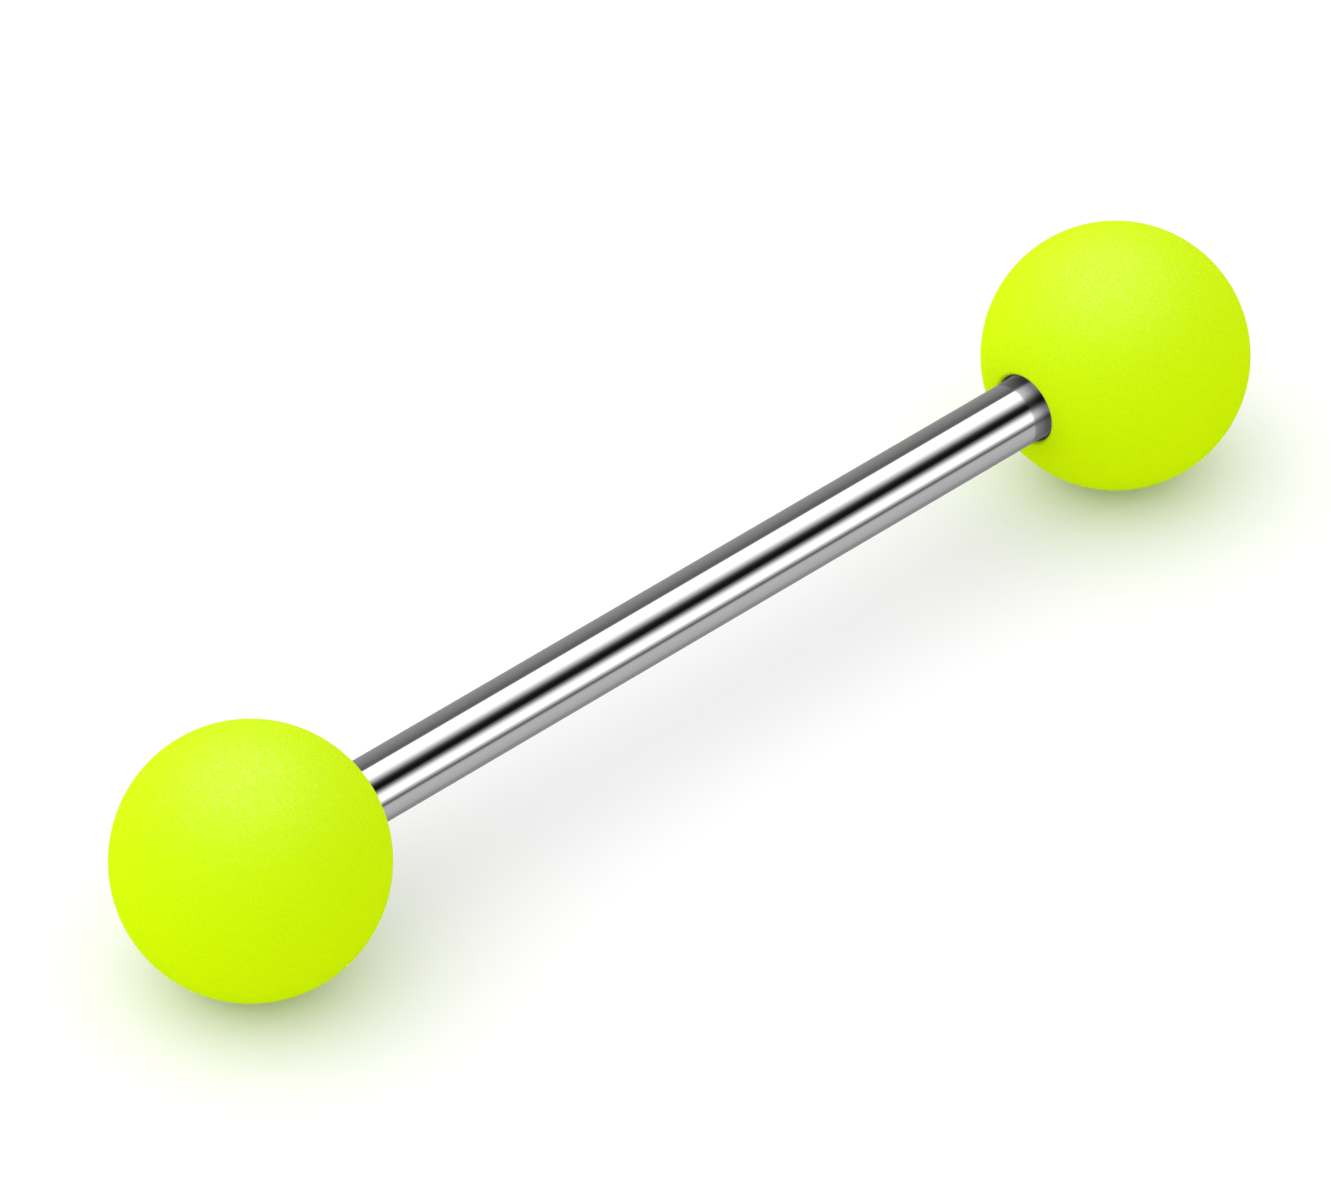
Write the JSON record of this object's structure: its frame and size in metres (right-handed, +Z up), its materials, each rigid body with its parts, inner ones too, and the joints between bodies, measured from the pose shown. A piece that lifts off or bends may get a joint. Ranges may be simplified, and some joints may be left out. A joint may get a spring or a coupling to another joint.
{
  "type": "tongue barbell",
  "caption": "Straight polished steel piercing bar with a matte neon yellow-green ball screwed onto each end.",
  "frame": {"origin": "on the surface that the barbell lies on, straight below the middle of the bar", "axes": "+X along the bar, from the near ball to the far ball; +Z up"},
  "size_m": [0.034, 0.0064, 0.0064],
  "materials": {
    "steel": "surgical steel, turned and polished bright",
    "neon_acrylic": "fluorescent yellow-green acrylic with a fine matte grain"
  },
  "bodies": {
    "bar": {"bar": "steel"},
    "near_ball": {"near_ball": "neon_acrylic"},
    "far_ball": {"far_ball": "neon_acrylic"}
  },
  "joints": [
    {"name": "near_ball_unscrew", "type": "slide", "parent": "bar", "child": "near_ball", "axis": [-1, 0, 0], "range_m": [0, 0.024]},
    {"name": "far_ball_unscrew", "type": "slide", "parent": "bar", "child": "far_ball", "axis": [1, 0, 0], "range_m": [0, 0.024]}
  ]
}
